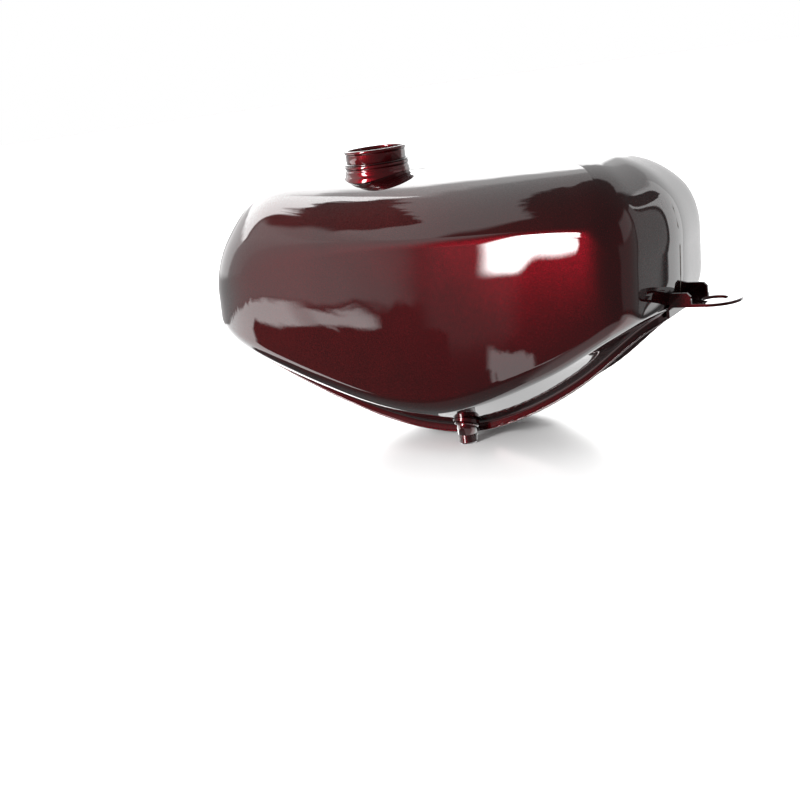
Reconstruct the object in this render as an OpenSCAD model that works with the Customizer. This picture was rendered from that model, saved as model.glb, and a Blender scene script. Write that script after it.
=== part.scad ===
// Saddle fuel tank for a 50 cc moped: two drawn half shells, a tunnel pan and the pieces welded to them.
// Frame: +X towards the filler, +Y left, +Z up. The origin is the axis of the rear mounting hole,
// on the top face of the rear tongue.

/* [Body] */
// Length of the body from the tail face to the nose
body_length = 446; // [436:1:456]
// Greatest width of the body, across the side creases
body_width = 211; // [205:1:217]
// Height of the crown above the rear tongue
crown_height = 121; // [118:1:125]
// Height of the side crease at its highest
crease_height = 74; // [71:1:77]
// Depth of the side panels' lower edge below the rear tongue
panel_depth = 71; // [66:1:75]
// Depth of the welded seam below the rear tongue
seam_depth = 98; // [94:1:104]
// Thickness of the drawn sheet
sheet = 1; // [0.8:0.1:1.4]
// Depth of the seam flange that hangs from the shells
flange_depth = 6; // [5:0.5:8]

/* [Tunnel] */
// Width between the seams at the widest point of the tunnel
tunnel_width = 92; // [88:1:96]
// Height of the tunnel roof above the rear tongue
roof_height = 12; // [8:1:16]

/* [Filler] */
// Distance of the filler axis from the rear mounting hole
filler_x = 296; // [290:1:302]
// Height of the filler rim above the rear tongue
rim_height = 142; // [140:1:146]
// Outer diameter of the filler neck
neck_d = 53; // [52:0.5:54]
// Diameter of the bayonet opening
bayonet_d = 40; // [38:0.5:42]

/* [Outlet] */
// Distance of the outlet axis from the rear mounting hole
outlet_x = 206; // [202:1:210]
// Distance of the outlet axis from the centre plane
outlet_y = 58; // [56:1:60]
// Thread diameter of the outlet stub
thread_d = 16; // [16:1:16]
// Bore of the outlet stub
outlet_bore = 10; // [8:0.5:11]
// Depth of the stub's lower face below the rear tongue
outlet_depth = 108; // [107:1:110]

/* [Mounts] */
// Width of the rear tongue
tongue_width = 44; // [40:1:46]
// Thickness of the rear tongue
tongue_t = 2.5; // [2:0.5:3]
// Diameter of the rear mounting hole
rear_hole = 21; // [20:0.5:22]
// Diameter of the two front mounting holes
front_hole = 12; // [10:0.5:13]

/* [Hidden] */
$fn = 72;

lacquer = "#4a0f18";
bare_steel = "#8a8580";
zinc = "#b5b0a4";

half_w = body_width / 2;
tail_x = 22;                        // tail face
nose_x = tail_x + body_length;      // nose
widest_x = tail_x + body_length / 3; // station of the greatest width

// ---------- curves ----------

// Point at parameter t of a cubic Bezier
function bez(a, b, c, d, t) =
    pow(1 - t, 3) * a + 3 * t * pow(1 - t, 2) * b + 3 * t * t * (1 - t) * c + t * t * t * d;

// n points of a cubic Bezier, without its last one
function bez_run(a, b, c, d, n) = [for (k = [0 : n - 1]) bez(a, b, c, d, k / n)];

// Point on the way from p to q, at most d along it and never past 46 % of it
function toward(p, q, d) = p + (q - p) * min(d / norm(q - p), 0.46);

fillet = 0.6;                       // fullness of the rounded corners

// Rounded corner at b between a and c as n points, with the corner cut at d
function corner(a, b, c, d, n) =
    let (p = toward(b, a, d), q = toward(b, c, d))
    bez_run(p, p + fillet * (b - p), q + fillet * (b - q), q, n);

// Smooth curve through knots [x, z] in order of x, with straight ends
function knot_slope(k, i) =
    let (last = len(k) - 1, a = k[max(i - 1, 0)], b = k[i], c = k[min(i + 1, last)])
    i == 0 ? (c.y - b.y) / (c.x - b.x) :
    i == last ? (b.y - a.y) / (b.x - a.x) :
    ((b.y - a.y) / (b.x - a.x) * (c.x - b.x) + (c.y - b.y) / (c.x - b.x) * (b.x - a.x)) / (c.x - a.x);
function span_of(k, x, i = 0) = i >= len(k) - 2 || x < k[i + 1].x ? i : span_of(k, x, i + 1);
function curve(k, x) =
    let (i = span_of(k, x), w = k[i + 1].x - k[i].x, t = (x - k[i].x) / w,
         ma = knot_slope(k, i), mb = knot_slope(k, i + 1))
    t < 0 ? k[i].y + ma * t * w :
    t > 1 ? k[i + 1].y + mb * (t - 1) * w :
    (2 * t^3 - 3 * t^2 + 1) * k[i].y + (t^3 - 2 * t^2 + t) * w * ma
        + (3 * t^2 - 2 * t^3) * k[i + 1].y + (t^3 - t^2) * w * mb;

// ---------- rails of the skin ----------

// Points on each stretch of a rail: nose, nose corner, front flank, side, rear flank, tail corner, tail
counts = [3, 6, 4, 5, 6, 6, 3];

// Place of each station along the rails, counted in stretches
station = concat([for (k = [0 : 6]) for (m = [0 : counts[k] - 1]) k + m / counts[k]], [7]);
last_row = len(station) - 1;

// Plan of a rail from the nose centre to the tail centre on the left side.
// nose and tail are [inset at the centre plane, extra inset at the corner, half width at the corner].
function rail_plan(nose, side_y, tail, cuts) =
    let (p = [
        [nose_x - nose[0], 0],
        [nose_x - nose[0] - nose[1], nose[2]],
        [widest_x, side_y],
        [tail_x + tail[0] + tail[1], tail[2]],
        [tail_x + tail[0], 0]])
    concat(
        [for (c = [1 : 3]) each concat(
            let (
                a = c == 1 ? p[0] : toward(p[c - 1], p[c], cuts[c - 2]),
                b = toward(p[c], p[c - 1], cuts[c - 1]))
            [for (m = [0 : counts[2 * c - 2] - 1]) a + (b - a) * m / counts[2 * c - 2]],
            corner(p[c - 1], p[c], p[c + 1], cuts[c - 1], counts[2 * c - 1]))],
        let (a = toward(p[3], p[4], cuts[2]))
        [for (m = [0 : counts[6]]) a + (p[4] - a) * m / counts[6]]);

shoulder_in = 32;                   // distance of the shoulder rail inside the crease
shoulder_plan = rail_plan([35, 6, 36], half_w - shoulder_in, [21, 12, 68], [44, 58, 27]);
crease_plan = rail_plan([3, 6, 65], half_w, [0, 12, 97], [68, 58, 24]);
panel_plan = rail_plan([0, 6, 63], half_w - 2, [4, 12, 96], [54, 58, 22]);
seam_plan = rail_plan([26, 4, 36], tunnel_width / 2, [11, 2, 30], [18, 39, 15]);

// Heights along the body
function crown_z(x) = crown_height
    + curve([[tail_x + 20, -2], [tail_x + 107, 0.4], [tail_x + 244, -0.6], [nose_x - 26, -2.5]], x);
shoulder_drop = 13;                 // height of the crown above the shoulder rail
function shoulder_z(x) = crown_z(x) - shoulder_drop;
function crease_z(x) = curve([
    [tail_x, crease_height - 5], [tail_x + 44, crease_height], [widest_x, crease_height - 2],
    [nose_x - 66, crease_height - 13], [nose_x, crease_height - 25]], x);
function panel_z(x) = curve([
    [tail_x, 6.5], [tail_x + 83, -0.51 * panel_depth], [tail_x + 205, -panel_depth],
    [nose_x - 110, -0.64 * panel_depth], [nose_x, -8]], x);
function seam_z(x) = curve([
    [tail_x + 11, -5], [tail_x + 24, -12], [tail_x + 83, -0.57 * seam_depth], [tail_x + 205, -seam_depth],
    [nose_x - 110, -0.65 * seam_depth], [nose_x, -9]], x);

// The spine lies in the centre plane under the same share of its length as the shoulder rail
spine_tail = tail_x + 78;
spine_nose = nose_x - 80;
function spine_x(x) =
    let (a = shoulder_plan[last_row].x, b = shoulder_plan[0].x)
    spine_tail + (spine_nose - spine_tail) * (x - a) / (b - a);

// 1 along the flanks, fading to 0 round the nose and round the tail
function smooth(t) = let (u = min(max(t, 0), 1)) u * u * (3 - 2 * u);
function flank(s) = smooth((s - 1.2) / 1.8) * smooth((5.6 - s) / 0.8);

// ---------- skin of the left half ----------

top_pts = 7;      // points from the spine to the crease
crease_pts = 3;   // points round the crease
panel_pts = 3;    // points down the side panel
edge_pts = 3;     // points round the panel's lower edge
under_pts = 2;    // points across the underside
crown_pull = 0.74; // how closely the crown follows its shoulder rail
panel_bulge = 3;  // how far the side panel stands out between its edges

function skin_column(i) =
    let (
        w = flank(station[i]),
        sh = shoulder_plan[i],
        k0 = [spine_x(sh.x), 0, crown_z(spine_x(sh.x))],
        k1 = [sh.x, sh.y, shoulder_z(sh.x)],
        k2 = [crease_plan[i].x, crease_plan[i].y, crease_z(crease_plan[i].x)],
        k3 = [panel_plan[i].x, panel_plan[i].y, panel_z(panel_plan[i].x)],
        k4 = [seam_plan[i].x, seam_plan[i].y, seam_z(seam_plan[i].x)],
        crease_cut = 5 * w + 26 * (1 - w),
        edge_cut = 12 * w + 16 * (1 - w),
        a = toward(k2, k1, crease_cut),
        b = toward(k2, k3, crease_cut),
        c = toward(k3, k2, edge_cut),
        d = toward(k3, k4, edge_cut),
        bulge = [0, panel_bulge * w, 0])
    concat(
        bez_run(k0, k0 + crown_pull * [k1.x - k0.x, k1.y, 0], a + crown_pull * (k1 - a), a, top_pts),
        bez_run(a, a + fillet * (k2 - a), b + fillet * (k2 - b), b, crease_pts),
        bez_run(b, b + (c - b) / 3 + bulge, b + (c - b) * 2 / 3 + bulge, c, panel_pts),
        bez_run(c, c + fillet * (k3 - c), d + fillet * (k3 - d), d, edge_pts),
        [for (m = [0 : under_pts]) d + (k4 - d) * m / under_pts],
        [k4 - [0, 0, flange_depth]]);

skin = [for (i = [0 : last_row]) skin_column(i)];

// ---------- tunnel pan ----------

// Plan path moved towards the tunnel's centre plane by d
function plan_normal(path, i) =
    let (a = path[min(i + 1, last_row)] - path[max(i - 1, 0)])
    i == 0 ? [-1, 0] : i == last_row ? [1, 0] : [-a.y, a.x] / norm(a);
function inset(path, d) = [for (i = [0 : last_row]) path[i] + d * plan_normal(path, i)];

pan_edge = inset(seam_plan, sheet);
wall_lean = 9;                      // how far the walls lean in from the seam to the roof
roof_edge = inset(seam_plan, sheet + wall_lean);
roof_tail = tail_x + 40;
roof_nose = nose_x - 60;
roof_pts = 4;
wall_pts = 3;
roof_pull = 0.8;                    // how closely the roof follows its edge
roof_cut = 26;                      // size of the curve between the roof and the walls

function roof_z(x) = curve([
    [tail_x, 0.3 * roof_height], [tail_x + 70, 0.8 * roof_height], [widest_x + 60, roof_height],
    [nose_x - 80, 0.7 * roof_height], [nose_x, 0]], x);

function pan_column(i) =
    let (
        share = (roof_edge[i].x - roof_edge[last_row].x) / (roof_edge[0].x - roof_edge[last_row].x),
        spine = roof_tail + (roof_nose - roof_tail) * share,
        k0 = [spine, 0, roof_z(spine)],
        k1 = [roof_edge[i].x, roof_edge[i].y, roof_z(roof_edge[i].x) - 1],
        k2 = [pan_edge[i].x, pan_edge[i].y, seam_z(seam_plan[i].x) + 1],
        a = toward(k1, k2, roof_cut))
    concat(
        bez_run(k0, k0 + roof_pull * [k1.x - k0.x, k1.y, 0], a + roof_pull * (k1 - a), a, roof_pts),
        [for (m = [0 : wall_pts]) a + (k2 - a) * m / wall_pts],
        [[k2.x, k2.y, seam_z(seam_plan[i].x) - flange_depth]]);

pan = [for (i = [0 : last_row]) pan_column(i)];

// ---------- solids from skins ----------

// Unit vector from point [i][j] of a skin into the sheet; along the centre plane it stays in that plane
function into_sheet(g, i, j) =
    let (
        cols = len(g[0]),
        a = g[min(i + 1, last_row)][j] - g[max(i - 1, 0)][j],
        b = g[i][min(j + 1, cols - 1)] - g[i][max(j - 1, 0)],
        n = i == 0 ? [b.z, 0, -b.x] :
            i == last_row ? [-b.z, 0, b.x] :
            j == 0 ? [-a.z, 0, a.x] :
            cross(a, b))
    n / norm(n);

// Grid moved by t into its sheet, and grid moved by a fixed vector
function into_grid(g, t) =
    [for (i = [0 : len(g) - 1]) [for (j = [0 : len(g[0]) - 1]) g[i][j] + t * into_sheet(g, i, j)]];
function moved(g, v) = [for (row = g) [for (p = row) p + v]];
function part_of(g, i0, i1, j0, j1) = [for (i = [i0 : i1]) [for (j = [j0 : j1]) g[i][j]]];

// Closed solid between two grids of the same size, the first one outside
module between(outer, inner) {
    rows = len(outer);
    cols = len(outer[0]);
    n = rows * cols;
    function v(i, j) = i * cols + j;
    function strip(p, q) = [[p, q, q + n], [p, q + n, p + n]];
    quads = [for (i = [0 : rows - 2]) for (j = [0 : cols - 2])
        [v(i, j), v(i + 1, j), v(i + 1, j + 1), v(i, j + 1)]];
    polyhedron([for (row = concat(outer, inner)) each row], concat(
        [for (j = [0 : cols - 2]) each concat(
            strip(v(0, j), v(0, j + 1)), strip(v(rows - 1, j + 1), v(rows - 1, j)))],
        [for (i = [0 : rows - 2]) each concat(
            strip(v(i + 1, 0), v(i, 0)), strip(v(i, cols - 1), v(i + 1, cols - 1)))],
        [for (q = quads) each [[q[0], q[1], q[2]], [q[0], q[2], q[3]]]],
        [for (q = quads) each [[q[0] + n, q[2] + n, q[1] + n], [q[0] + n, q[3] + n, q[2] + n]]]));
}

module sheet_solid(g) {
    between(g, into_grid(g, sheet));
}

// Round bar swept along a path, with its ends closed
module swept_bar(path, r, sides = 8, closed = false) {
    count = len(path);
    function dir(i) = let (
        a = closed ? path[(i + count - 1) % count] : path[max(i - 1, 0)],
        b = closed ? path[(i + 1) % count] : path[min(i + 1, count - 1)]) (b - a) / norm(b - a);
    rings = [for (i = [0 : count - 1]) let (
        t = dir(i), side = cross(t, [0, 0, 1]), u = side / norm(side), w = cross(u, t))
        for (k = [0 : sides - 1]) path[i] + r * (cos(360 * k / sides) * u + sin(360 * k / sides) * w)];
    steps = closed ? count - 1 : count - 2;
    polyhedron(rings, concat(
        [for (i = [0 : steps]) for (k = [0 : sides - 1]) let (
            p = i * sides + k, q = i * sides + (k + 1) % sides,
            s = ((i + 1) % count) * sides + k, u = ((i + 1) % count) * sides + (k + 1) % sides)
            each [[p, u, q], [p, s, u]]],
        closed ? [] : [
            [for (k = [0 : sides - 1]) k],
            [for (k = [sides - 1 : -1 : 0]) (count - 1) * sides + k]]));
}

// ---------- what the welded pieces rest on ----------

last_col = len(skin[0]) - 1;
seam_col = last_col - 1;            // column of the seam itself
under_col = seam_col - under_pts;   // column where the underside begins
block = 25;                         // depth of the cutting blocks

module both_sides() {
    children();
    mirror([0, 1, 0]) children();
}

// Everything just below the crown
module under_crown() {
    g = part_of(skin, 7, 22, 0, top_pts - 1);
    both_sides() between(g, moved(g, [0, 0, -block]));
}

// Everything just above the left underside
module over_underside() {
    g = part_of(skin, 11, 22, under_col, seam_col);
    between(g, moved(g, [0, 0, block]));
}

// Everything just ahead of the lower tail
module behind_tail() {
    g = part_of(skin, 28, last_row, top_pts + crease_pts, seam_col);
    both_sides() between(g, moved(g, [block, 0, 0]));
}

// Everything just above the tunnel side of the roof
module over_roof() {
    g = part_of(into_grid(pan, sheet), 2, 15, 0, roof_pts + 1);
    both_sides() between(moved(g, [0, 0, block]), g);
}

// ---------- shells and pan ----------

hole_gap = 0.1;
hole_sides = 36;

// Prism round a circle of diameter d, for the holes in the drawn sheets
module round_prism(d, h) {
    r = d / 2 / cos(180 / hole_sides);
    linear_extrude(h)
        polygon([for (k = [0.5 : hole_sides]) r * [cos(360 * k / hole_sides), sin(360 * k / hole_sides)]]);
}

module left_half_shell() {
    color(lacquer) difference() {
        sheet_solid(skin);
        translate([filler_x, 0, crown_height - block]) round_prism(neck_d + hole_gap, 2 * block);
        translate([outlet_x, outlet_y, -seam_depth - block]) round_prism(shank_d + hole_gap, 2 * block);
    }
}

module right_half_shell() {
    color(lacquer) mirror([0, 1, 0]) difference() {
        sheet_solid(skin);
        translate([filler_x, 0, crown_height - block]) round_prism(neck_d + hole_gap, 2 * block);
    }
}

module tunnel_pan() {
    color(lacquer) both_sides() sheet_solid(pan);
}

// ---------- seam beads ----------

bead_r = 1.1;
seam_inside = into_grid(skin, sheet + bead_r);
bead_gap = neck_d / 2 + 4;

// Root of the weld between the halves, inside the tank, ahead of and behind the filler
nose_bead = concat(
    [for (j = [under_col : -1 : 1]) seam_inside[0][j]],
    [for (row = seam_inside) if (row[0].x > filler_x + bead_gap) row[0]]);
tail_bead = concat(
    [for (row = seam_inside) if (row[0].x < filler_x - bead_gap) row[0]],
    [for (j = [1 : under_col]) seam_inside[last_row][j]]);

module crown_seam_bead() {
    color(bare_steel) {
        swept_bar(nose_bead, bead_r);
        swept_bar(tail_bead, bead_r);
    }
}

// Bead under the flange edges, all the way round the tunnel
flange_foot = [for (i = [0 : last_row])
    [pan_edge[i].x, pan_edge[i].y, seam_z(seam_plan[i].x) - flange_depth - bead_r]];
flange_loop = concat(flange_foot, [for (i = [last_row - 1 : -1 : 1])
    [flange_foot[i].x, -flange_foot[i].y, flange_foot[i].z]]);

module flange_seam_bead() {
    color(lacquer) swept_bar(flange_loop, bead_r, closed = true);
}

// ---------- filler ----------

neck_r = neck_d / 2;
neck_wall = 1.5;
neck_foot = crown_height - 13;      // the neck ends inside the tank
lip_r = 1.5;
lip_out = 0.8;
collar_top = crown_height + 8;
collar_r = neck_r + 1.8;
collar_foot_r = collar_r + 2;
collar_foot = crown_height - 12;
groove = 0.7;

module filler_neck() {
    color(lacquer) translate([filler_x, 0, 0]) rotate_extrude() {
        difference() {
            union() {
                translate([neck_r - neck_wall, neck_foot])
                    square([neck_wall, rim_height - lip_r - neck_foot]);
                translate([neck_r + lip_out - lip_r, rim_height - lip_r]) circle(r = lip_r);
            }
            translate([0, neck_foot]) square([neck_r - neck_wall, rim_height]);
        }
    }
}

ring_top = rim_height - 3.5;
ring_t = 1.6;
skirt_h = 9;
skirt_t = 1.5;
notch_w = 11;
notch_out = 3;

// Ring that holds the cap, with two notches and a skirt below them
module bayonet_ring() {
    color(zinc) translate([filler_x, 0, 0]) difference() {
        union() {
            translate([0, 0, ring_top - ring_t]) cylinder(r = neck_r - neck_wall, h = ring_t);
            translate([0, 0, ring_top - skirt_h])
                cylinder(r = bayonet_d / 2 + skirt_t, h = skirt_h - ring_t);
        }
        translate([0, 0, ring_top - 2 * skirt_h]) cylinder(d = bayonet_d, h = 3 * skirt_h);
        translate([-notch_w / 2, -bayonet_d / 2 - notch_out, ring_top - 2 * skirt_h])
            cube([notch_w, bayonet_d + 2 * notch_out, 3 * skirt_h]);
    }
}

// Reinforcing collar between the neck and the crown
module filler_collar() {
    color(lacquer) difference() {
        translate([filler_x, 0, 0]) rotate_extrude() polygon([
            [neck_r, collar_foot], [collar_foot_r + 1, collar_foot],
            [collar_foot_r, crown_height - 3], [collar_r, crown_height],
            [collar_r, collar_top - 5], [collar_r - groove, collar_top - 4.3],
            [collar_r - groove, collar_top - 3.3], [collar_r, collar_top - 2.6],
            [collar_r, collar_top - 0.8], [collar_r - 0.8, collar_top], [neck_r, collar_top]]);
        under_crown();
    }
}

filler_bead_r = 0.9;

module filler_weld() {
    color(lacquer) translate([filler_x, 0, collar_top + filler_bead_r])
        rotate_extrude() translate([neck_r + filler_bead_r, 0]) circle(r = filler_bead_r);
}

// ---------- outlet ----------

boss_h = 26;                        // whole height of the boss, most of it inside the tank
thread_h = 8;                       // free thread below the weld
thread_chamfer = 1;
shank_d = thread_d + 1;
plate_r = 11.5;
plate_t = 1.5;
outlet_bead_r = 1;

// Plane of the underside at the row of the skin that passes closest to the outlet
function row_at(x, i = 0) = skin[i + 1][seam_col].x < x ? i : row_at(x, i + 1);
outlet_row = row_at(outlet_x);
outlet_up = into_sheet(skin, outlet_row, seam_col - 1);
outlet_ref = skin[outlet_row][seam_col - 1];
function underside_z(x, y) =
    outlet_ref.z - (outlet_up.x * (x - outlet_ref.x) + outlet_up.y * (y - outlet_ref.y)) / outlet_up.z;

module outlet_boss() {
    color(lacquer) translate([outlet_x, outlet_y, -outlet_depth]) difference() {
        union() {
            cylinder(d1 = thread_d - 2 * thread_chamfer, d2 = thread_d, h = thread_chamfer);
            translate([0, 0, thread_chamfer]) cylinder(d = thread_d, h = thread_h - thread_chamfer);
            translate([0, 0, thread_h]) cylinder(d = shank_d, h = boss_h - thread_h);
        }
        translate([0, 0, -1]) cylinder(d = outlet_bore, h = boss_h + 2);
    }
}

// Disc that spreads the boss's load over the sloping underside
module outlet_plate() {
    color(lacquer) difference() {
        translate([outlet_x, outlet_y, underside_z(outlet_x, outlet_y)])
            rotate([0, acos(outlet_up.z), atan2(outlet_up.y, outlet_up.x)])
            translate([0, 0, -plate_t]) cylinder(r = plate_r, h = 2 * plate_t);
        over_underside();
        translate([outlet_x, outlet_y, -outlet_depth]) cylinder(d = shank_d, h = outlet_depth);
    }
}

outlet_ring = [for (a = [0 : 15 : 345]) let (
    x = outlet_x + (shank_d / 2 + outlet_bead_r) * cos(a),
    y = outlet_y + (shank_d / 2 + outlet_bead_r) * sin(a))
    [x, y, underside_z(x, y) - (plate_t + outlet_bead_r) / outlet_up.z]];

module outlet_weld() {
    color(lacquer) swept_bar(outlet_ring, outlet_bead_r, sides = 6, closed = true);
}

// ---------- rear tongue ----------

tongue_r = tongue_width / 2;
seam_tail_x = seam_plan[last_row].x;
leg_foot = seam_z(seam_tail_x) - flange_depth;
rib_out = 12;
rib_in = tail_x + 12;
rib_h = 9;
rib_cut = 3;
rib_t = tongue_t;
weld_in = 6.2;                      // distance of the weld's axis behind the seam

// Lies on a vertical plane along X, t thick towards +Y
module upright(t) {
    rotate([90, 0, 0]) translate([0, 0, -t]) linear_extrude(t) children();
}

module rear_tongue() {
    color(lacquer) difference() {
        union() {
            translate([0, 0, -tongue_t]) linear_extrude(tongue_t) {
                circle(r = tongue_r);
                translate([0, -tongue_r]) square([tail_x + 6, tongue_width]);
            }
            translate([0, -tongue_r, 0]) upright(tongue_width) polygon([
                [tail_x + 4, 0], [seam_tail_x - 3.6, 0], [seam_tail_x, -5.2], [seam_tail_x, leg_foot],
                [seam_tail_x - tongue_t, leg_foot], [seam_tail_x - tongue_t, -4.8],
                [seam_tail_x - tongue_t - 2.2, -tongue_t], [tail_x + 4, -tongue_t]]);
        }
        translate([0, 0, -2 * tongue_t]) cylinder(d = rear_hole, h = 3 * tongue_t);
        behind_tail();
    }
}

// Upturned side of the tongue's root, against the tail
module tongue_rib() {
    difference() {
        translate([0, tongue_r - rib_t, 0]) upright(rib_t) polygon([
            [rib_out, 0], [rib_in, 0], [rib_in, rib_h],
            [rib_out + rib_cut, rib_h], [rib_out, rib_h - rib_cut]]);
        behind_tail();
    }
}

module tongue_rib_left() {
    color(lacquer) tongue_rib();
}

module tongue_rib_right() {
    color(lacquer) mirror([0, 1, 0]) tongue_rib();
}

weld_half = tongue_r - rib_t - 2;
weld_r = 1.2;

module tongue_weld() {
    color(lacquer) translate([seam_tail_x - weld_in, -weld_half, weld_r])
        rotate([-90, 0, 0]) cylinder(r = weld_r, h = 2 * weld_half, $fn = 24);
}

// ---------- front mounts ----------

lug_x = nose_x - 58;
lug_y = 17;                         // axis of the hole
lug_z = -14;                        // lower face of the foot
lug_t = 2.5;
lug_r = 10.5;
leg_y = 6;                          // inner face of the leg
strap_z = 1;
strap_w = 26;
strap_half = 30.5;

// Strap across the tunnel, up against the curve between its roof and its walls
module front_strap() {
    color(lacquer) difference() {
        translate([lug_x - strap_w / 2, -strap_half, strap_z]) cube([strap_w, 2 * strap_half, lug_t]);
        over_roof();
    }
}

// Bracket with a leg down from the strap and a foot with the mounting hole
module front_lug() {
    translate([lug_x - lug_r, leg_y, lug_z]) cube([2 * lug_r, lug_t, strap_z - lug_z]);
    translate([lug_x, lug_y, lug_z]) linear_extrude(lug_t) difference() {
        union() {
            circle(r = lug_r);
            translate([-lug_r, leg_y - lug_y]) square([2 * lug_r, lug_y - leg_y]);
        }
        circle(d = front_hole);
    }
}

module front_lug_left() {
    color(lacquer) front_lug();
}

module front_lug_right() {
    color(lacquer) mirror([0, 1, 0]) front_lug();
}

module front_weld_beads() {
    color(lacquer) both_sides()
        translate([lug_x - lug_r + 2, leg_y + lug_t + weld_r, strap_z - weld_r])
            rotate([0, 90, 0]) cylinder(r = weld_r, h = 2 * lug_r - 4, $fn = 24);
}

left_half_shell();
right_half_shell();
tunnel_pan();
crown_seam_bead();
flange_seam_bead();
filler_neck();
bayonet_ring();
filler_collar();
filler_weld();
outlet_boss();
outlet_plate();
outlet_weld();
rear_tongue();
tongue_rib_left();
tongue_rib_right();
tongue_weld();
front_strap();
front_lug_left();
front_lug_right();
front_weld_beads();
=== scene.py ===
"""Looks of the fuel tank: lacquered half shells, tunnel pan, filler, outlet and mounts.

Everything is in metres in the frame of the CAD part: +X towards the filler, +Y left, +Z up,
with the origin on the axis of the rear mounting hole. Lengths in the shape code are millimetres
and become metres where a mesh is made.
"""
import math

import bmesh
import bpy
import numpy as np
from mathutils import Matrix, Vector, noise


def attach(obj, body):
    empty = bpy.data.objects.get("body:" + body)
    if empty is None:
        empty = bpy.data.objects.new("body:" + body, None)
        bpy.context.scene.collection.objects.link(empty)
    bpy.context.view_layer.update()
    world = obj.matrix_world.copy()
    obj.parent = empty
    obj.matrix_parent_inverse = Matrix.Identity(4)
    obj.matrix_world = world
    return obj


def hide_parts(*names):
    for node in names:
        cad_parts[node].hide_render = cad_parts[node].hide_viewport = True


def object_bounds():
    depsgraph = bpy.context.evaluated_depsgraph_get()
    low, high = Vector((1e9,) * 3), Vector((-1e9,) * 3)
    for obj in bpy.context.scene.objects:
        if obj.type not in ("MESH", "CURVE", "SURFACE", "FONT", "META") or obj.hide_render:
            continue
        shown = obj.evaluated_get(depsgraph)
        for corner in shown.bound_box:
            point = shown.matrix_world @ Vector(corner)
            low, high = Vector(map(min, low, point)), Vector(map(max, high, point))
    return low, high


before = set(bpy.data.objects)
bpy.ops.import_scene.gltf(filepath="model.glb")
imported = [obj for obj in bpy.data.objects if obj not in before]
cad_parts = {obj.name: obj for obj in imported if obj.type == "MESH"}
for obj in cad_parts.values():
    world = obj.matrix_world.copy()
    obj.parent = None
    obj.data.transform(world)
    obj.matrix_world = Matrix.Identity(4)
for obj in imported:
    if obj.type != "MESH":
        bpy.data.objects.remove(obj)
cad_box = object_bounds()

MM = 0.001
BODY = "root"

# ---------- sizes of the part, in millimetres ----------

BODY_LENGTH = 446.0      # from the tail face to the nose
HALF_W = 105.5           # from the centre plane to the corners that guide the side crease
CROWN = 121.0            # height of the crown
CREASE = 74.0            # height of the side crease at its highest
PANEL = 71.0             # depth of the side panels' lower edge
SEAM = 98.0              # depth of the welded seam
SHEET = 1.0              # thickness of the drawn sheet
FLANGE = 6.0             # depth of the seam flange
TUNNEL_HALF = 46.0       # half width between the seams at the widest point
ROOF = 12.0              # height of the tunnel roof
FILLER_X = 296.0         # filler axis
RIM = 142.0              # height of the filler rim
NECK_R = 26.5            # outer radius of the filler neck
OUTLET = (206.0, 58.0)   # outlet axis
OUTLET_DEPTH = 108.0     # depth of the stub's lower face
THREAD_R = 8.0
SHANK_R = 8.5
BORE_R = 5.0
TAIL_X = 22.0            # tail face
NOSE_X = TAIL_X + BODY_LENGTH
WIDEST_X = TAIL_X + BODY_LENGTH / 3  # station of the greatest width

# ---------- curves ----------


def bez(a, b, c, d, n):
    """n points of a cubic Bezier, without its last one."""
    t = (np.arange(n) / n)[:, None]
    return (1 - t) ** 3 * a + 3 * t * (1 - t) ** 2 * b + 3 * t * t * (1 - t) * c + t**3 * d


def line(a, b, n):
    """n points from a towards b, without b."""
    t = (np.arange(n) / n)[:, None]
    return a + (b - a) * t


FURTHEST = 0.46   # share of an edge that a rounded corner may take up
FILLET = 0.6      # fullness of the rounded corners


def toward(p, q, d):
    """Point on the way from p to q, at most d along it."""
    return p + (q - p) * min(d / np.linalg.norm(q - p), FURTHEST)


def fillet(p, b, q, n):
    """n points of the rounded corner at b from p to q, without q."""
    return bez(p, p + FILLET * (b - p), q + FILLET * (b - q), q, n)


def corner(a, b, c, d, n):
    """n points of the rounded corner at b between a and c, cut at d."""
    return fillet(toward(b, a, d), b, toward(b, c, d), n)


def curve(knots, x):
    """Smooth curve through knots (x, z) with straight ends."""
    k, last = knots, len(knots) - 1

    def slope(i):
        if i == 0:
            return (k[1][1] - k[0][1]) / (k[1][0] - k[0][0])
        if i == last:
            return (k[-1][1] - k[-2][1]) / (k[-1][0] - k[-2][0])
        a, b, c = k[i - 1], k[i], k[i + 1]
        s = (b[1] - a[1]) / (b[0] - a[0]) * (c[0] - b[0])
        return (s + (c[1] - b[1]) / (c[0] - b[0]) * (b[0] - a[0])) / (c[0] - a[0])

    i = 0
    while i < last - 1 and x >= k[i + 1][0]:
        i += 1
    w = k[i + 1][0] - k[i][0]
    t = (x - k[i][0]) / w
    ma, mb = slope(i), slope(i + 1)
    if t < 0:
        return k[i][1] + ma * t * w
    if t > 1:
        return k[i + 1][1] + mb * (t - 1) * w
    return (
        (2 * t**3 - 3 * t**2 + 1) * k[i][1]
        + (t**3 - 2 * t**2 + t) * w * ma
        + (3 * t**2 - 2 * t**3) * k[i + 1][1]
        + (t**3 - t**2) * w * mb
    )


def smoothstep(t):
    u = min(max(t, 0.0), 1.0)
    return u * u * (3 - 2 * u)


# ---------- rails of the skin ----------

# Points on each stretch of a rail: nose, nose corner, front flank, side, rear flank, tail corner, tail
FINE = 5
COUNTS = [FINE * n for n in (3, 6, 4, 5, 6, 6, 3)]
STATIONS = [k + m / COUNTS[k] for k in range(7) for m in range(COUNTS[k])] + [7.0]
ROWS = len(STATIONS)


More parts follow.
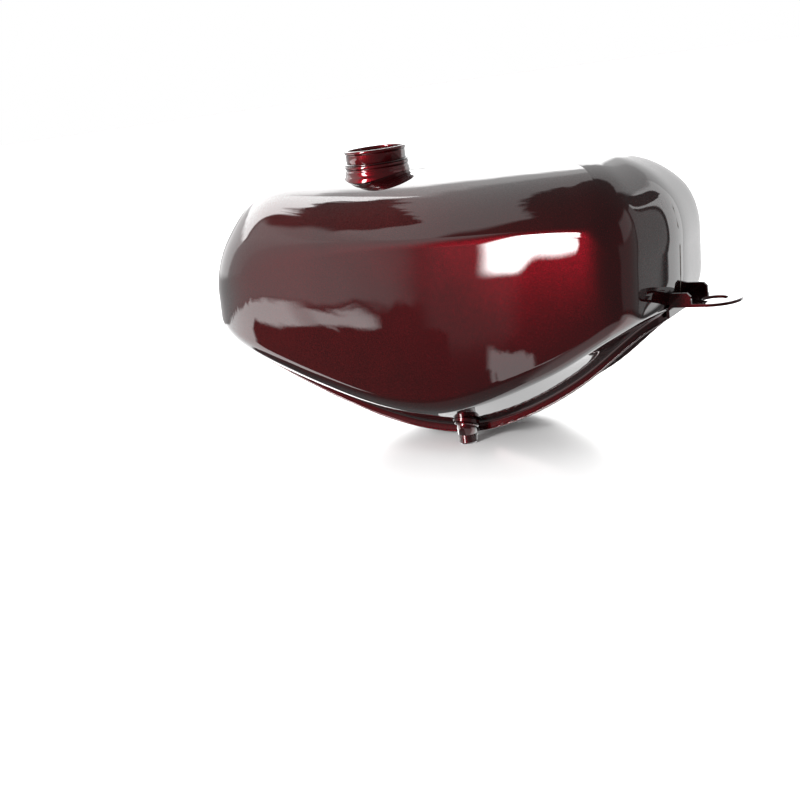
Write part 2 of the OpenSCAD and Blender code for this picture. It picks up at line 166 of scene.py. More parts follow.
def rail_plan(nose, side_y, tail, cuts):
    """Plan of a rail from the nose centre to the tail centre on the left side.

    nose and tail are (inset at the centre plane, extra inset at the corner, half width at the corner),
    and cuts are the sizes of the nose corner, the side curve and the tail corner.
    """
    p = [
        np.array(q, float)
        for q in (
            (NOSE_X - nose[0], 0),
            (NOSE_X - nose[0] - nose[1], nose[2]),
            (WIDEST_X, side_y),
            (TAIL_X + tail[0] + tail[1], tail[2]),
            (TAIL_X + tail[0], 0),
        )
    ]
    runs = []
    for c in (1, 2, 3):
        a = p[0] if c == 1 else toward(p[c - 1], p[c], cuts[c - 2])
        b = toward(p[c], p[c - 1], cuts[c - 1])
        runs.append(line(a, b, COUNTS[2 * c - 2]))
        runs.append(corner(p[c - 1], p[c], p[c + 1], cuts[c - 1], COUNTS[2 * c - 1]))
    last = line(toward(p[3], p[4], cuts[2]), p[4], COUNTS[6])
    return np.vstack(runs + [last, p[4][None]])


SHOULDER_IN = 32     # distance of the shoulder rail inside the crease
SHOULDER_DROP = 13   # height of the crown above the shoulder rail
SHOULDER = rail_plan((35, 6, 36), HALF_W - SHOULDER_IN, (21, 12, 68), (44, 58, 27))
CREASE_PLAN = rail_plan((3, 6, 65), HALF_W, (0, 12, 97), (68, 58, 24))
PANEL_PLAN = rail_plan((0, 6, 63), HALF_W - 2, (4, 12, 96), (54, 58, 22))
SEAM_PLAN = rail_plan((26, 4, 36), TUNNEL_HALF, (11, 2, 30), (18, 39, 15))


def crown_z(x):
    return CROWN + curve(
        [(TAIL_X + 20, -2), (TAIL_X + 107, 0.4), (TAIL_X + 244, -0.6), (NOSE_X - 26, -2.5)], x
    )


def crease_z(x):
    return curve(
        [
            (TAIL_X, CREASE - 5),
            (TAIL_X + 44, CREASE),
            (WIDEST_X, CREASE - 2),
            (NOSE_X - 66, CREASE - 13),
            (NOSE_X, CREASE - 25),
        ],
        x,
    )


def panel_z(x):
    return curve(
        [
            (TAIL_X, 6.5),
            (TAIL_X + 83, -0.51 * PANEL),
            (TAIL_X + 205, -PANEL),
            (NOSE_X - 110, -0.64 * PANEL),
            (NOSE_X, -8),
        ],
        x,
    )


def seam_z(x):
    return curve(
        [
            (TAIL_X + 11, -5),
            (TAIL_X + 24, -12),
            (TAIL_X + 83, -0.57 * SEAM),
            (TAIL_X + 205, -SEAM),
            (NOSE_X - 110, -0.65 * SEAM),
            (NOSE_X, -9),
        ],
        x,
    )


def flank(s):
    """1 along the flanks, fading to 0 round the nose and round the tail."""
    return smoothstep((s - 1.2) / 1.8) * smoothstep((5.6 - s) / 0.8)


def eased(points, sigma):
    """Points of a rail smoothed along it, mirrored past the centre plane at both ends."""
    reach = int(3 * sigma)
    flip = np.array([1, -1, 1])
    rows = np.vstack([points[reach:0:-1] * flip, points, points[-2 : -reach - 2 : -1] * flip])
    w = np.exp(-0.5 * (np.arange(-reach, reach + 1) / sigma) ** 2)
    w /= w.sum()
    return np.stack([np.convolve(rows[:, c], w, "valid") for c in range(3)], 1)


EASE = 3.0   # rows over which a rail is smoothed


def rail(plan, height):
    """Rail in space over a plan, at the height that a function of x gives."""
    return eased(np.array([(x, y, height(x)) for x, y in plan]), EASE)


# Rails from the spine at the top to the seam at the bottom
K1 = rail(SHOULDER, lambda x: crown_z(x) - SHOULDER_DROP)
K2 = rail(CREASE_PLAN, crease_z)
K3 = rail(PANEL_PLAN, panel_z)
K4 = rail(SEAM_PLAN, seam_z)
SPINE_TAIL, SPINE_NOSE = TAIL_X + 78, NOSE_X - 80
SPINE = SPINE_TAIL + (SPINE_NOSE - SPINE_TAIL) * (K1[:, 0] - K1[-1, 0]) / (K1[0, 0] - K1[-1, 0])
K0 = np.array([(x, 0, crown_z(x)) for x in SPINE])


CROWN_PULL = 0.74    # how closely the crown follows its shoulder rail
PANEL_BULGE = 3      # how far the side panel stands out between its edges
SHARP_CREASE, SOFT_CREASE = 5, 26   # size of the crease's rounding on the flanks and at the ends
SHARP_EDGE, SOFT_EDGE = 12, 16      # the same for the panel's lower edge
SEAM_BEND = 2.0      # size of the bend from the underside into the flange


def skin_column(i):
    """Points from the spine over the crease and under the side panel to the foot of the flange."""
    w = flank(STATIONS[i])
    k0, k1, k2, k3, k4 = K0[i], K1[i], K2[i], K3[i], K4[i]
    crease_cut = SHARP_CREASE * w + SOFT_CREASE * (1 - w)
    edge_cut = SHARP_EDGE * w + SOFT_EDGE * (1 - w)
    a, b = toward(k2, k1, crease_cut), toward(k2, k3, crease_cut)
    c, d = toward(k3, k2, edge_cut), toward(k3, k4, edge_cut)
    bulge = np.array([0, PANEL_BULGE * w, 0])
    foot = k4 - np.array([0, 0, FLANGE])
    e = toward(k4, d, SEAM_BEND)
    f = toward(k4, foot, SEAM_BEND)
    pull = np.array([k1[0] - k0[0], k1[1], 0])
    return np.vstack(
        [
            bez(k0, k0 + CROWN_PULL * pull, a + CROWN_PULL * (k1 - a), a, 34),
            fillet(a, k2, b, 12),
            bez(b, b + (c - b) / 3 + bulge, b + (c - b) * 2 / 3 + bulge, c, 18),
            fillet(c, k3, d, 14),
            line(d, e, 8),
            fillet(e, k4, f, 5),
            line(f, foot, 2),
            foot[None],
        ]
    )


def normals(g):
    """Unit normals of a grid, outward, with its mirror image continuing it past the centre plane."""
    flip = np.array([1, -1, 1])
    tall = np.concatenate([g[1:2] * flip, g, g[-2:-1] * flip])
    along = tall[2:] - tall[:-2]
    wide = np.concatenate([g[:, 1:2] * flip, g, 2 * g[:, -1:] - g[:, -2:-1]], 1)
    across = wide[:, 2:] - wide[:, :-2]
    n = np.cross(across, along)
    size = np.linalg.norm(n, axis=2, keepdims=True)
    n = n / np.maximum(size, 1e-9)
    n[0, 0], n[-1, 0] = n[0, 1], n[-1, 1]
    return n


def hammered(g, n, depth, width, seed):
    """Grid with the slight unevenness of drawn sheet, even on both sides of the centre plane."""
    out = g.copy()
    for i in range(g.shape[0]):
        for j in range(g.shape[1]):
            x, y, z = g[i, j] / width
            out[i, j] += n[i, j] * depth * noise.noise(Vector((x + seed, abs(y), z)))
    return out


# ---------- meshes ----------


def new_object(name, verts, faces, material):
    """Smooth-shaded object from points in millimetres."""
    mesh = bpy.data.meshes.new(name)
    mesh.from_pydata([tuple(c * MM for c in v) for v in verts], [], faces)
    mesh.update()
    for p in mesh.polygons:
        p.use_smooth = True
    obj = bpy.data.objects.new(name, mesh)
    bpy.context.scene.collection.objects.link(obj)
    obj.data.materials.append(material)
    return obj


def piece(obj, nodes):
    """Places a finished piece on the body in place of its CAD nodes."""
    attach(obj, BODY)
    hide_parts(*nodes)
    return obj


def sheet_mesh(name, outer, n, keep, material, mirror=False):
    """Closed sheet under a grid. Quads outside keep are left out and their edges closed, as round a hole."""
    rows, cols = outer.shape[:2]
    inner = outer - n * SHEET
    flip = np.array([1, -1 if mirror else 1, 1])
    verts = (np.concatenate([outer.reshape(-1, 3), inner.reshape(-1, 3)]) * flip).tolist()
    vert_normals = np.concatenate([(n * flip).reshape(-1, 3), (-n * flip).reshape(-1, 3)])
    total = rows * cols
    faces, edges = [], {}
    for i in range(rows - 1):
        for j in range(cols - 1):
            if not keep[i, j]:
                continue
            at = i * cols + j
            quad = [at, at + 1, at + cols + 1, at + cols]
            faces += [quad, [v + total for v in reversed(quad)]]
            for k in range(4):
                a, b = quad[k], quad[(k + 1) % 4]
                if (b, a) in edges:
                    del edges[(b, a)]
                else:
                    edges[(a, b)] = True
    skin_faces = len(faces)
    faces += [[b, a, a + total, b + total] for a, b in edges]
    if mirror:
        faces = [list(reversed(f)) for f in faces]
    obj = new_object(name, verts, faces, material)
    mesh = obj.data
    loops = []
    for k, poly in enumerate(mesh.polygons):
        for v in poly.vertices:
            loops.append(Vector(vert_normals[v]) if k < skin_faces else poly.normal.copy())
    mesh.normals_split_custom_set(loops)
    bm = bmesh.new()
    bm.from_mesh(mesh)
    loose = [v for v in bm.verts if not v.link_faces]
    if loose:
        bmesh.ops.delete(bm, geom=loose, context="VERTS")
        bm.to_mesh(mesh)
    bm.free()
    return obj


def revolved(name, profile, centre, material, steps=128):
    """Ring turned about a vertical axis through centre from a closed outline of (radius, height)."""
    verts, faces, n = [], [], len(profile)
    for k in range(steps):
        a = 2 * math.pi * k / steps
        verts += [(centre[0] + r * math.cos(a), centre[1] + r * math.sin(a), z) for r, z in profile]
    for k in range(steps):
        p, q = k * n, ((k + 1) % steps) * n
        for m in range(n):
            s = (m + 1) % n
            faces.append([p + m, q + m, q + s, p + s])
    return new_object(name, verts, faces, material)


def rounded(points, radii, steps=5):
    """Closed polygon of (r, z) points with each corner rounded by its own size."""
    out, n = [], len(points)
    for i, r in enumerate(radii):
        a, b, c = (np.array(points[(i + k) % n], float) for k in (-1, 0, 1))
        if r <= 0:
            out.append(tuple(b))
            continue
        p, q = toward(b, a, r), toward(b, c, r)
        for t in range(steps + 1):
            u = t / steps
            out.append(tuple((1 - u) ** 2 * p + 2 * u * (1 - u) * b + u * u * q))
    return out


def bead_loop(name, path, radius, material, sides, ripple, pitch):
    """Round bar along a closed path, with the ripples of a weld bead."""
    path = [Vector(p) for p in path]
    count, verts, faces, run = len(path), [], [], 0.0
    for i, p in enumerate(path):
        t = (path[(i + 1) % count] - path[i - 1]).normalized()
        u = t.cross(Vector((0, 0, 1))).normalized()
        w = u.cross(t)
        run += (p - path[i - 1]).length if i else 0.0
        r = radius * (1 - ripple + ripple * math.cos(2 * math.pi * run / pitch))
        for k in range(sides):
            g = 2 * math.pi * k / sides
            verts.append(tuple(p + r * (math.cos(g) * u + math.sin(g) * w)))
    for i in range(count):
        here, ahead = i * sides, ((i + 1) % count) * sides
        for k in range(sides):
            m = (k + 1) % sides
            faces.append([here + k, here + m, ahead + m, ahead + k])
    return new_object(name, verts, faces, material)


# ---------- materials ----------


def node_tree(name):
    mat = bpy.data.materials.new(name)
    mat.use_nodes = True
    tree = mat.node_tree
    return mat, tree, tree.nodes["Principled BSDF"]


def add(tree, kind, **values):
    node = tree.nodes.new(kind)
    for key, value in values.items():
        setattr(node, key, value)
    return node


def noise_of(tree, place, scale, detail):
    """Noise over the object, with the given number of octaves."""
    node = add(tree, "ShaderNodeTexNoise")
    node.inputs["Scale"].default_value = scale
    node.inputs["Detail"].default_value = detail
    tree.links.new(place.outputs["Object"], node.inputs["Vector"])
    return node.outputs[0]


def coloured(tree, bsdf, value, low, high):
    """Base colour from one (place, colour) to the other as the value rises."""
    ramp = add(tree, "ShaderNodeValToRGB")
    for stop, (position, colour) in zip(ramp.color_ramp.elements, (low, high)):
        stop.position = position
        stop.color = (*colour, 1)
    tree.links.new(value, ramp.inputs["Fac"])
    tree.links.new(ramp.outputs["Color"], bsdf.inputs["Base Color"])


def bumped(tree, value, strength, depth, socket):
    """Relief of the given depth in metres on a normal socket."""
    bump = add(tree, "ShaderNodeBump")
    bump.inputs["Strength"].default_value = strength
    bump.inputs["Distance"].default_value = depth
    tree.links.new(value, bump.inputs["Height"])
    tree.links.new(bump.outputs["Normal"], socket)


FLAKES_PER_METRE = 2200
FLAKE_TILT = 0.12
PEEL_DEPTH = 0.000003
EDGE_TINT = (0.06, 0.002, 0.004)


def lacquer_material(name, deep, bright):
    """Candy lacquer: a dark metallic base with flake under a clear coat with orange peel."""
    mat, tree, bsdf = node_tree(name)
    link = tree.links.new
    place = add(tree, "ShaderNodeTexCoord")
    flakes = add(tree, "ShaderNodeTexVoronoi", feature="F1")
    flakes.inputs["Scale"].default_value = FLAKES_PER_METRE
    link(place.outputs["Object"], flakes.inputs["Vector"])
    # each cell is one flake, tilted its own way
    centred = add(tree, "ShaderNodeVectorMath", operation="SUBTRACT")
    link(flakes.outputs["Color"], centred.inputs[0])
    centred.inputs[1].default_value = (0.5, 0.5, 0.5)
    tilt = add(tree, "ShaderNodeVectorMath", operation="SCALE")
    link(centred.outputs[0], tilt.inputs[0])
    tilt.inputs["Scale"].default_value = FLAKE_TILT
    facing = add(tree, "ShaderNodeNewGeometry")
    tipped = add(tree, "ShaderNodeVectorMath", operation="ADD")
    link(facing.outputs["Normal"], tipped.inputs[0])
    link(tilt.outputs[0], tipped.inputs[1])
    unit = add(tree, "ShaderNodeVectorMath", operation="NORMALIZE")
    link(tipped.outputs[0], unit.inputs[0])
    link(unit.outputs[0], bsdf.inputs["Normal"])
    # colour drifts slightly with the thickness of the candy coat and from flake to flake
    mixed = add(tree, "ShaderNodeMath", operation="MULTIPLY_ADD")
    link(flakes.outputs["Distance"], mixed.inputs[0])
    mixed.inputs[1].default_value = 0.5
    link(noise_of(tree, place, 9, 3), mixed.inputs[2])
    coloured(tree, bsdf, mixed.outputs[0], (0.25, deep), (1.0, bright))
    # orange peel lies in the clear coat only
    bumped(tree, noise_of(tree, place, 420, 2), 1.0, PEEL_DEPTH, bsdf.inputs["Coat Normal"])
    bsdf.inputs["Metallic"].default_value = 0.9
    # under the clear coat the flake is never seen at a grazing angle
    bsdf.inputs["Specular Tint"].default_value = (*EDGE_TINT, 1)
    bsdf.inputs["Roughness"].default_value = 0.38
    bsdf.inputs["Coat Weight"].default_value = 1.0
    bsdf.inputs["Coat Roughness"].default_value = 0.01
    bsdf.inputs["Coat IOR"].default_value = 1.55
    return mat


def metal_material(name, light, dark, rough, grain):
    """Bare or plated steel with cloudy variation and dull patches."""
    mat, tree, bsdf = node_tree(name)
    cloud = noise_of(tree, add(tree, "ShaderNodeTexCoord"), grain, 6)
    coloured(tree, bsdf, cloud, (0.35, dark), (0.65, light))
    spread = add(tree, "ShaderNodeMapRange")
    spread.inputs["To Min"].default_value = rough - 0.1
    spread.inputs["To Max"].default_value = rough + 0.15
    tree.links.new(cloud, spread.inputs["Value"])
    tree.links.new(spread.outputs[0], bsdf.inputs["Roughness"])
    bumped(tree, cloud, 0.4, 0.00005, bsdf.inputs["Normal"])
    bsdf.inputs["Metallic"].default_value = 1.0
    return mat


LACQUER = lacquer_material("candy_wine_lacquer", (0.013, 0.0002, 0.0006), (0.052, 0.0005, 0.0020))
# Painted light: the neck and its sleeve get a copy of the lacquer with a brighter base. It stands in for the
# softbox's red glow on the neck, not a different paint.
NECK_LACQUER_PAINTED_LIT = lacquer_material("candy_lacquer_painted_lit_on_neck", (0.034, 0.0005, 0.0015), (0.125, 0.0016, 0.0050))
ZINC = metal_material("zinc_plated_steel", (0.62, 0.60, 0.55), (0.42, 0.40, 0.36), 0.32, 160)
STEEL = metal_material("bare_welded_steel", (0.36, 0.33, 0.30), (0.20, 0.17, 0.15), 0.45, 220)

# ---------- half shells ----------

skin = np.array([skin_column(i) for i in range(ROWS)])
skin_n = normals(skin)
skin = hammered(skin, skin_n, depth=0.10, width=34.0, seed=3.7)
skin[0, :, 1] = skin[-1, :, 1] = skin[:, 0, 1] = 0   # the edges stay in the centre plane
skin_n = normals(skin)


def hole_in(g, centre, radius, lowest, highest):
    """Quads kept round a vertical hole, and the grid with the hole's rim drawn onto the circle."""
    rows, cols = g.shape[:2]
    out = g.copy()
    dx, dy = g[:, :, 0] - centre[0], g[:, :, 1] - centre[1]
    d = np.hypot(dx, dy)
    near = (g[:, :, 2] > lowest) & (g[:, :, 2] < highest)
    inside = near & (d < radius)
    gone = inside[:-1, :-1] & inside[1:, :-1] & inside[:-1, 1:] & inside[1:, 1:]
    rim = np.zeros((rows, cols), bool)
    for di in (0, 1):
        for dj in (0, 1):
            rim[di : rows - 1 + di, dj : cols - 1 + dj] |= ~gone
    move = inside & rim
    f = radius / np.maximum(d, 1e-6)
    out[:, :, 0] = np.where(move, centre[0] + dx * f, out[:, :, 0])
    out[:, :, 1] = np.where(move, centre[1] + dy * f, out[:, :, 1])
    return ~gone, out


TUCK = 0.3   # how far the shells' holes reach under the neck and the stub
throat, open_skin = hole_in(skin, (FILLER_X, 0), NECK_R - TUCK, CROWN - 31, CROWN + 79)
outlet, left_skin = hole_in(open_skin, OUTLET, SHANK_R - TUCK, -OUTLET_DEPTH - 22, -OUTLET_DEPTH + 48)
left = sheet_mesh("left_shell", left_skin, skin_n, throat & outlet, LACQUER)
right = sheet_mesh("right_shell", open_skin, skin_n, throat, LACQUER, mirror=True)
piece(left, ["left_half_shell"])
piece(right, ["right_half_shell"])

# ---------- tunnel pan ----------


def plan_inset(points, d):
    """Rail moved towards the tunnel's centre plane by d, in plan."""
    a = np.empty_like(points)
    a[1:-1] = points[2:] - points[:-2]
    a[0], a[-1] = (0, 1, 0), (0, -1, 0)
    n = np.stack([-a[:, 1], a[:, 0], 0 * a[:, 0]], 1)
    n /= np.linalg.norm(n, axis=1, keepdims=True)
    out = points + d * n
    out[0, 1] = out[-1, 1] = 0
    return out


WALL_LEAN = 9                                     # how far the walls lean in from the seam to the roof
ROOF_TAIL, ROOF_NOSE = TAIL_X + 40, NOSE_X - 60   # ends of the roof's spine
ROOF_PULL = 0.8                                   # how closely the roof follows its edge
ROOF_CUT = 26                                     # size of the curve between the roof and the walls
PAN_EDGE = plan_inset(K4, SHEET)
ROOF_EDGE = plan_inset(K4, SHEET + WALL_LEAN)


def roof_z(x):
    return curve(
        [
            (TAIL_X, 0.3 * ROOF),
            (TAIL_X + 70, 0.8 * ROOF),
            (WIDEST_X + 60, ROOF),
            (NOSE_X - 80, 0.7 * ROOF),
            (NOSE_X, 0),
        ],
        x,
    )


def pan_column(i):
    """Points from the roof's spine down the tunnel wall to the foot of the flange."""
    share = (ROOF_EDGE[i, 0] - ROOF_EDGE[-1, 0]) / (ROOF_EDGE[0, 0] - ROOF_EDGE[-1, 0])
    spine = ROOF_TAIL + (ROOF_NOSE - ROOF_TAIL) * share
    k0 = np.array([spine, 0, roof_z(spine)])
    k1 = np.array([ROOF_EDGE[i, 0], ROOF_EDGE[i, 1], roof_z(ROOF_EDGE[i, 0]) - 1])
    k2 = np.array([PAN_EDGE[i, 0], PAN_EDGE[i, 1], K4[i, 2] + 1])
    foot = np.array([k2[0], k2[1], K4[i, 2] - FLANGE])
    a = toward(k1, k2, ROOF_CUT)
    pull = np.array([k1[0] - k0[0], k1[1], 0])
    return np.vstack(
        [
            bez(k0, k0 + ROOF_PULL * pull, a + ROOF_PULL * (k1 - a), a, 22),
            line(a, k2, 12),
            line(k2, foot, 3),
            foot[None],
        ]
    )


pan = np.array([pan_column(i) for i in range(ROWS)])
pan[:, :, 1] = np.maximum(pan[:, :, 1], 0)
pan_n = normals(pan)
no_holes = np.ones((ROWS - 1, pan.shape[1] - 1), bool)
pan_left = sheet_mesh("tunnel_pan_left", pan, pan_n, no_holes, LACQUER)
pan_right = sheet_mesh("tunnel_pan_right", pan, pan_n, no_holes, LACQUER, mirror=True)
piece(pan_left, ["tunnel_pan"])
piece(pan_right, ["tunnel_pan"])

# ---------- flange bead ----------

BEAD_R = 1.1
foot = np.stack([PAN_EDGE[:, 0], PAN_EDGE[:, 1], K4[:, 2] - FLANGE - BEAD_R], 1)
loop = [tuple(p) for p in foot] + [(p[0], -p[1], p[2]) for p in foot[-2:0:-1]]
flange_bead = bead_loop("flange_bead", loop, BEAD_R, LACQUER, sides=10, ripple=0.12, pitch=5.0)
piece(flange_bead, ["flange_seam_bead"])

# ---------- filler ----------

NECK_WALL = 1.5
NECK_FOOT = CROWN - 13   # the neck ends inside the tank
LIP_OUT = 0.8            # how far the rolled lip stands out
LIP_H = 2.6
LIP_ROOT = RIM - 3.4
neck_profile = rounded(
    [
        (NECK_R - NECK_WALL, NECK_FOOT), (NECK_R, NECK_FOOT), (NECK_R, LIP_ROOT),
        (NECK_R + LIP_OUT, RIM - LIP_H), (NECK_R + LIP_OUT, RIM), (NECK_R - 2.2, RIM),
        (NECK_R - 2.2, RIM - LIP_H), (NECK_R - NECK_WALL, LIP_ROOT),
    ],
    [0, 0, 0.8, 1.2, 1.5, 1.5, 1.2, 0.6],
)
# The neck tube and the sleeve below use the brighter lacquer copy, which is painted light from the softbox.
neck = revolved("filler_neck_tube", neck_profile, (FILLER_X, 0), NECK_LACQUER_PAINTED_LIT)
piece(neck, ["filler_neck"])

COLLAR_TOP = CROWN + 8
COLLAR_FOOT = CROWN - 12
COLLAR_R = NECK_R + 1.8
GROOVE_R = COLLAR_R - 0.7
collar_profile = rounded(
    [
        (NECK_R, COLLAR_FOOT), (COLLAR_R + 3, COLLAR_FOOT), (COLLAR_R + 2, CROWN - 3), (COLLAR_R, CROWN),
        (COLLAR_R, COLLAR_TOP - 5.2), (GROOVE_R, COLLAR_TOP - 4.4), (GROOVE_R, COLLAR_TOP - 3.2),
        (COLLAR_R, COLLAR_TOP - 2.4), (COLLAR_R, COLLAR_TOP), (NECK_R, COLLAR_TOP),
    ],
    [0, 0, 2.5, 2.5, 0.5, 0.4, 0.4, 0.5, 1.1, 0],
)
sleeve = revolved("filler_sleeve", collar_profile, (FILLER_X, 0), NECK_LACQUER_PAINTED_LIT)
piece(sleeve, ["filler_collar"])

FILLER_BEAD_R = 0.95
bead_profile = [
    (NECK_R + 0.8 + FILLER_BEAD_R * math.cos(a), COLLAR_TOP + 0.75 + FILLER_BEAD_R * math.sin(a))
    for a in np.linspace(0, 2 * math.pi, 14, endpoint=False)
]
piece(revolved("filler_bead", bead_profile, (FILLER_X, 0), LACQUER), ["filler_weld"])

# ---------- outlet ----------

low = -OUTLET_DEPTH
BOSS_H = 26          # whole height of the boss, most of it inside the tank
THREAD_H = 7.7       # free thread below the shank
ROOT_R = THREAD_R - 0.75
CREST = 0.08         # half width of a thread's crest
boss = [(BORE_R, low + BOSS_H), (BORE_R, low + 0.8), (BORE_R + 0.8, low), (THREAD_R - 1.1, low)]
turns = np.linspace(0.9, 7.6, 10)
for a, b in zip(turns[:-1], turns[1:]):
    crest = low + (a + b) / 2
    boss += [(ROOT_R, low + a), (THREAD_R, crest - CREST), (THREAD_R, crest + CREST)]
boss += [(ROOT_R, low + THREAD_H), (SHANK_R, low + THREAD_H + 0.6), (SHANK_R, low + BOSS_H)]
stub = revolved("outlet_stub", boss, OUTLET, LACQUER, steps=96)
piece(stub, ["outlet_boss"])

# ---------- carried-over pieces ----------


def finish_node(node_name, material, bevel=0.0):
    """Gives a CAD node that stays its material and softened edges."""
    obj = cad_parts[node_name]
    obj.data.materials.clear()
    obj.data.materials.append(material)
    for p in obj.data.polygons:
        p.material_index = 0
    if bevel:
        mod = obj.modifiers.new("soft_edges", "BEVEL")
        mod.width = bevel * MM
        mod.segments = 3
        mod.limit_method = "ANGLE"
        mod.angle_limit = math.radians(35)


for node_name in ("rear_tongue", "tongue_rib_left", "tongue_rib_right"):
    finish_node(node_name, LACQUER, 0.6)
for node_name in ("front_strap", "front_lug_left", "front_lug_right"):
    finish_node(node_name, LACQUER, 0.5)
for node_name in ("tongue_weld", "outlet_plate", "outlet_weld", "front_weld_beads"):
    finish_node(node_name, LACQUER)
finish_node("bayonet_ring", ZINC, 0.3)
finish_node("crown_seam_bead", STEEL)

# ---------- camera ----------

# At the photograph's angle. The tank stands level here, so the camera carries the tilt.
AZIMUTH, ELEVATION, ROLL = math.radians(32.0), math.radians(14.3), math.radians(7.8)
CAMERA_AT = (-0.3581, 1.0618, 0.2299)
level_back = Vector((-math.sin(AZIMUTH), math.cos(AZIMUTH), 0))
back = math.cos(ELEVATION) * level_back + Vector((0, 0, math.sin(ELEVATION)))
right_level = Vector((-math.cos(AZIMUTH), -math.sin(AZIMUTH), 0))
up_level = back.cross(right_level)
cam_right = math.cos(ROLL) * right_level - math.sin(ROLL) * up_level
cam_up = math.sin(ROLL) * right_level + math.cos(ROLL) * up_level
cam_data = bpy.data.cameras.new("camera")
cam_data.lens = 63.0
cam_data.sensor_width = 36.0
cam_data.clip_start = 0.05
cam_data.clip_end = 60.0
camera = bpy.data.objects.new("camera", cam_data)
bpy.context.scene.collection.objects.link(camera)
camera.matrix_world = Matrix(
    (
        (cam_right.x, cam_up.x, back.x, CAMERA_AT[0]),
        (cam_right.y, cam_up.y, back.y, CAMERA_AT[1]),
        (cam_right.z, cam_up.z, back.z, CAMERA_AT[2]),
        (0, 0, 0, 1),
    )
)
bpy.context.scene.camera = camera

# ---------- studio ----------

# The studio's own axes up and towards the camera; its third is the camera's right
room_up = (math.cos(ELEVATION) * cam_up + math.sin(ELEVATION) * back).normalized()
room_back = (math.cos(ELEVATION) * back - math.sin(ELEVATION) * cam_up).normalized()

world = bpy.data.worlds.new("studio")
bpy.context.scene.world = world
world.use_nodes = True
wt = world.node_tree
wt.nodes.clear()
wlink = wt.links.new
direction = add(wt, "ShaderNodeTexCoord").outputs["Generated"]


def wmath(operation, a, b=None, c=None):
    """Output of a math node of the world, from numbers or other outputs."""
    node = add(wt, "ShaderNodeMath", operation=operation)
    for k, v in enumerate((a, b, c)):
        if v is None:
            continue
        if isinstance(v, (int, float)):
            node.inputs[k].default_value = v
        else:
            wlink(v, node.inputs[k])
    return node.outputs[0]


def along(axis):
    """How far a ray points along an axis of the studio."""
    node = add(wt, "ShaderNodeVectorMath", operation="DOT_PRODUCT")
    wlink(direction, node.inputs[0])
    node.inputs[1].default_value = axis
    return node.outputs["Value"]


def ramped(value, a, b):
    """0 below a, 1 above b, smooth between them, or the other way round where b is below a."""
    node = add(wt, "ShaderNodeMapRange", interpolation_type="SMOOTHSTEP")
    wlink(value, node.inputs["Value"])
    lo, hi = min(a, b), max(a, b)
    node.inputs["From Min"].default_value = lo
    node.inputs["From Max"].default_value = hi
    node.inputs["To Min"].default_value = 0.0 if b > a else 1.0
    node.inputs["To Max"].default_value = 1.0 if b > a else 0.0
    return node.outputs[0]


def band(value, a, b, soft):
    """1 from a to b and 0 outside, with soft edges."""
    rise = ramped(value, a - soft / 2, a + soft / 2)
    fall = ramped(value, b + soft / 2, b - soft / 2)
    return wmath("MULTIPLY", rise, fall)


RIGHT, UP, BACK = along(cam_right), along(room_up), along(room_back)
DEG = 180 / math.pi
UNEVEN = 3.4   # degrees that the edges of what stands in the room wander
ragged = add(wt, "ShaderNodeTexNoise")
ragged.inputs["Scale"].default_value = 28
ragged.inputs["Detail"].default_value = 4
wlink(direction, ragged.inputs["Vector"])
wander = wmath("MULTIPLY", wmath("SUBTRACT", ragged.outputs[0], 0.5), UNEVEN)
true_height = wmath("MULTIPLY", wmath("ARCSINE", UP), DEG)     # above the studio's horizon
height = wmath("ADD", true_height, wander)
turn = wmath("MULTIPLY", wmath("ARCTAN2", RIGHT, BACK), DEG)   # 0 at the camera, positive to its right

# What the glossy paint reflects, each patch painted over the ones before it: strength,
# (turn from, to, softness), (height from, to, softness), and the heights' climb for each degree of turn
ROOM = 0.17
PATCHES = [
    (1.15, (-184, -75, 16), (-17, 44, 2), 0),         # pale wall on the left
    (0.36, (-71, -52, 6), (-24, 2, 6), 0),
    (1.35, (-184, -98, 3), (30, 59, 2), 0),           # ceiling above it
    (0.13, (-137, -110.5, 1), (20, 45.5, 0.8), 0),    # dark edge under the ceiling
    (1.1, (-112, -98, 2), (18, 38, 3), 0),
    (7.0, (-184, -139, 3), (10, 42, 9), 0),           # window bank
    (2.2, (-184, -139, 4), (40, 47, 3), 0),           # its paler top
    (7.5, (-141, -118, 1.5), (18, 41.8, 0.8), -0.34),
    (2.6, (-150, -117, 6), (-6, 20, 4), 0),
    (1.3, (-117, -98, 4), (-6, 33, 3), 0),
    (4.3, (-172, -83, 1.2), (-37, -17, 1), 0),        # lit floor on the left
    (0.16, (-90, -66, 1.5), (-50, -20.5, 1), 0),      # dark things on it
    (3.6, (-83, -79, 1.5), (-20.2, -18, 1), 0),       # bright chink between them
    (2.3, (-57, -39, 2), (-32.5, -28.5, 1), -0.45),   # strip of floor in front of them
    (0.75, (60, 104, 8), (18, 45, 8), 0),             # grey wall on the right
    (0.40, (44, 109, 8), (-14, 18, 8), 0),
    (0.60, (109, 117, 1), (-14, 34, 4), 0),
    (2.1, (117, 136, 1), (-14, 34, 4), 0),
    (1.55, (136, 184, 2), (-14, 34, 4), 0),
    (1.15, (128, 184, 6), (32, 56, 3), 0),
    (0.14, (119, 127, 0.8), (24, 36, 0.8), 0),        # dark fittings on that wall
    (0.14, (116.4, 117.8, 0.8), (-18, 26, 2), 0),
    (0.14, (108.4, 109.3, 0.8), (-18, 22, 2), 0),
    (4.5, (168, 184, 3), (4, 33, 3), 0),              # window behind the tail
    (1.70, (50, 184, 18), (-91, -22, 5), 0),          # floor under the tank
    (2.8, (72, 138, 10), (-62, -27, 5), 0),
    (1.0, (-36, 60, 18), (-91, -34, 8), 0),
    (0.35, (-184, -38, 18), (-91, -46, 8), 0),
]
SOFTBOX = (42.0, (-57.5, -44, 5), (-12.5, 24, 2))
# The softbox's lower corner is cut off where the turn, leaned by the height, passes this value
CUT_AT, CUT_SOFT, CUT_LEAN = -41.3, 3, -0.83


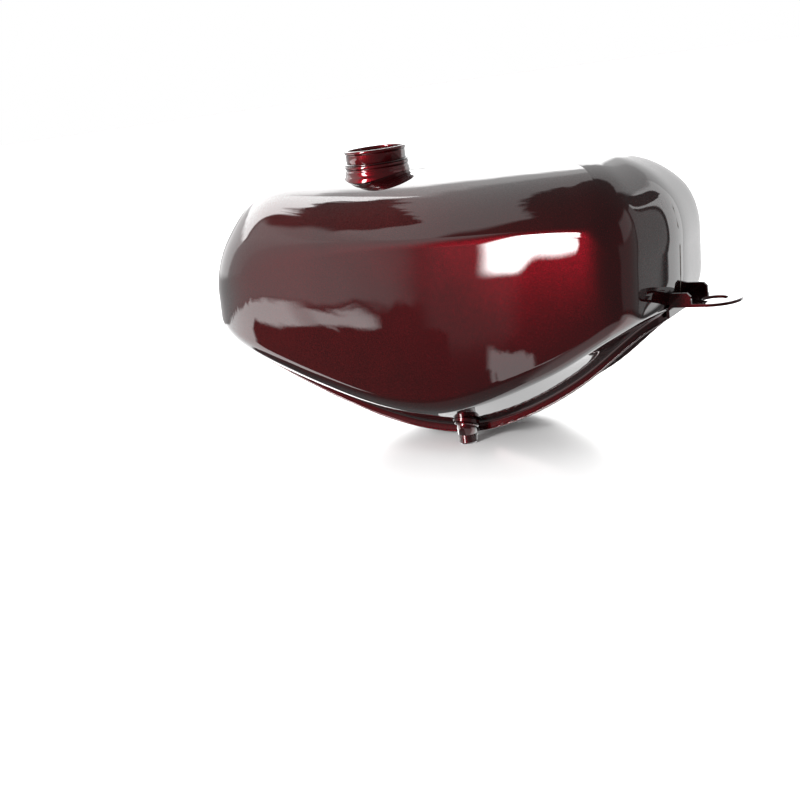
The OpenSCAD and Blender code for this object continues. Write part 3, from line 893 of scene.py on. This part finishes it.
def patch_mask(turns, heights, climb):
    """1 inside a patch and 0 outside it."""
    level = wmath("MULTIPLY_ADD", wmath("SUBTRACT", turn, (turns[0] + turns[1]) / 2), -climb, height)
    return wmath("MULTIPLY", band(turn, *turns), band(level, *heights))


total = wmath("ADD", ROOM, 0.0)
for strength, turns, heights, climb in PATCHES:
    mask = patch_mask(turns, heights, climb)
    total = wmath("MULTIPLY_ADD", mask, wmath("SUBTRACT", strength, total), total)
strength, turns, heights = SOFTBOX
softbox = wmath("MULTIPLY", band(turn, *turns), band(true_height, *heights))
leaned = wmath("MULTIPLY_ADD", true_height, CUT_LEAN, turn)
corner_cut = ramped(leaned, CUT_AT + CUT_SOFT / 2, CUT_AT - CUT_SOFT / 2)
total = wmath("MULTIPLY_ADD", wmath("MULTIPLY", softbox, corner_cut), strength, total)


def white_light(strength):
    node = add(wt, "ShaderNodeBackground")
    node.inputs["Color"].default_value = (1, 1, 1, 1)
    node.inputs["Strength"].default_value = strength
    return node


def either(factor, first, second):
    """The first shader where the factor is 0, the second where it is 1."""
    node = add(wt, "ShaderNodeMixShader")
    wlink(factor, node.inputs["Fac"])
    wlink(first, node.inputs[1])
    wlink(second, node.inputs[2])
    return node.outputs[0]


# An even tent lights the floor, the studio shows in gloss, and the backdrop is plain
TENT, BACKDROP = 1.25, 1.0
rays = add(wt, "ShaderNodeLightPath")
studio = white_light(1.0)
wlink(total, studio.inputs["Strength"])
lit = either(rays.outputs["Is Diffuse Ray"], studio.outputs[0], white_light(TENT).outputs[0])
out = add(wt, "ShaderNodeOutputWorld")
seen = either(rays.outputs["Is Camera Ray"], lit, white_light(BACKDROP).outputs[0])
wlink(seen, out.inputs["Surface"])

# ---------- floor ----------

floor_mesh = bpy.data.meshes.new("floor")
bm = bmesh.new()
bmesh.ops.create_circle(bm, cap_ends=True, radius=9.0, segments=96)
bm.to_mesh(floor_mesh)
bm.free()
floor = bpy.data.objects.new("floor", floor_mesh)
bpy.context.scene.collection.objects.link(floor)
floor.location.z = cad_box[0][2] - 0.2 * MM
floor_mat, floor_tree, floor_bsdf = node_tree("pale_floor")
floor_bsdf.inputs["Base Color"].default_value = (0.86, 0.86, 0.86, 1)
floor_bsdf.inputs["Roughness"].default_value = 0.25
floor.data.materials.append(floor_mat)
floor.visible_glossy = False   # the lacquer sees the studio's own floor

scene = bpy.context.scene
scene.view_settings.view_transform = "Standard"
scene.view_settings.look = "None"
